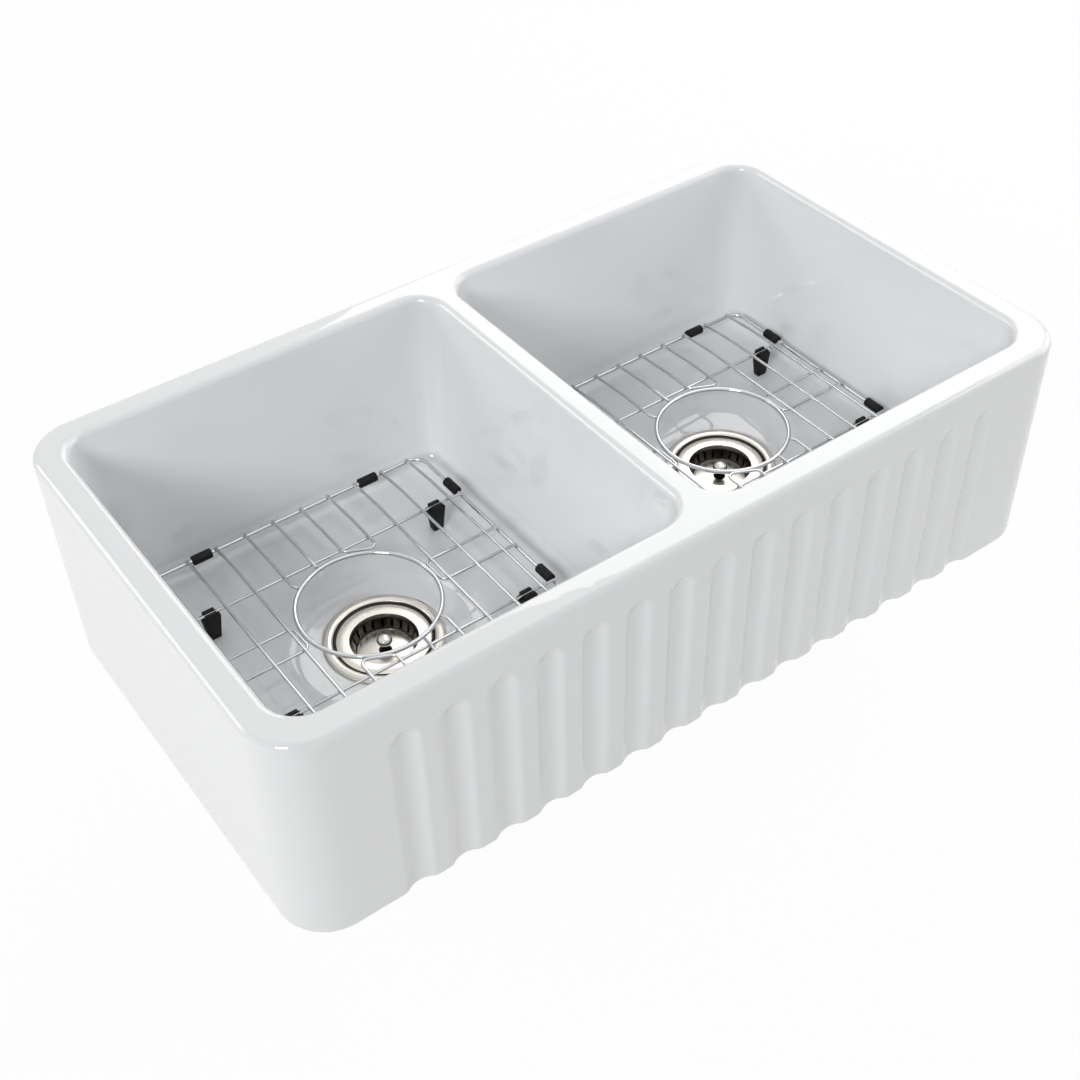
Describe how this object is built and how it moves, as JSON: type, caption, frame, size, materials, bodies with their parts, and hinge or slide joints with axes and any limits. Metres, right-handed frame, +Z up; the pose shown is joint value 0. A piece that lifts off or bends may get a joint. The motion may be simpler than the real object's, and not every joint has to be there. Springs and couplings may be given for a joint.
{
  "type": "farmhouse apron front sink",
  "caption": "Farmhouse apron-front kitchen sink with side-by-side bowls, a fluted apron, lift-out basket strainers and wire bottom grids.",
  "frame": {"origin": "centre of the sink's underside", "axes": "+X to the right as seen from the front, the fluted apron faces -Y, +Z up"},
  "size_m": [0.8382, 0.455, 0.3591],
  "materials": {
    "glaze": "white gloss glaze on fireclay",
    "brushed_nickel": "warm brushed stainless steel",
    "polished_metal": "polished",
    "polished_tube": "smooth thin stainless tube",
    "cast_metal": "plated cast metal",
    "bright_wire": "electropolished stainless wire",
    "foot_rubber": "matte black rubber",
    "seal_rubber": "matte black rubber",
    "card": "plain fibre ring"
  },
  "bodies": {
    "sink": {"sink_body": "glaze", "left_strainer_body": "brushed_nickel", "left_rubber_washer": "seal_rubber", "left_friction_ring": "card", "left_lock_nut": "cast_metal", "left_tailpiece_washer": "seal_rubber", "left_tailpiece": "polished_tube", "left_coupling_nut": "cast_metal", "right_strainer_body": "brushed_nickel", "right_rubber_washer": "seal_rubber", "right_friction_ring": "card", "right_lock_nut": "cast_metal", "right_tailpiece_washer": "seal_rubber", "right_tailpiece": "polished_tube", "right_coupling_nut": "cast_metal"},
    "left_basket": {"left_basket_cup": "brushed_nickel"},
    "left_stopper": {"left_basket_post": "polished_metal", "left_basket_knob": "polished_metal", "left_basket_stopper": "seal_rubber", "left_retainer_nut": "cast_metal"},
    "left_grid": {"left_grid_frame": "bright_wire", "left_grid_y_wires": "bright_wire", "left_grid_x_wires": "bright_wire", "left_grid_ring": "bright_wire", "left_grid_feet": "foot_rubber", "left_grid_bumpers": "foot_rubber"},
    "right_basket": {"right_basket_cup": "brushed_nickel"},
    "right_stopper": {"right_basket_post": "polished_metal", "right_basket_knob": "polished_metal", "right_basket_stopper": "seal_rubber", "right_retainer_nut": "cast_metal"},
    "right_grid": {"right_grid_frame": "bright_wire", "right_grid_y_wires": "bright_wire", "right_grid_x_wires": "bright_wire", "right_grid_ring": "bright_wire", "right_grid_feet": "foot_rubber", "right_grid_bumpers": "foot_rubber"}
  },
  "joints": [
    {"name": "left_grid_lift", "type": "slide", "parent": "sink", "child": "left_grid", "axis": [0, 0, 1], "range_m": [0, 0.3]},
    {"name": "left_basket_lift", "type": "slide", "parent": "sink", "child": "left_basket", "axis": [0, 0, 1], "range_m": [0, 0.25]},
    {"name": "left_stopper_lift", "type": "slide", "parent": "left_basket", "child": "left_stopper", "axis": [0, 0, 1], "range_m": [0, 0.008]},
    {"name": "right_grid_lift", "type": "slide", "parent": "sink", "child": "right_grid", "axis": [0, 0, 1], "range_m": [0, 0.3]},
    {"name": "right_basket_lift", "type": "slide", "parent": "sink", "child": "right_basket", "axis": [0, 0, 1], "range_m": [0, 0.25]},
    {"name": "right_stopper_lift", "type": "slide", "parent": "right_basket", "child": "right_stopper", "axis": [0, 0, 1], "range_m": [0, 0.008]}
  ]
}
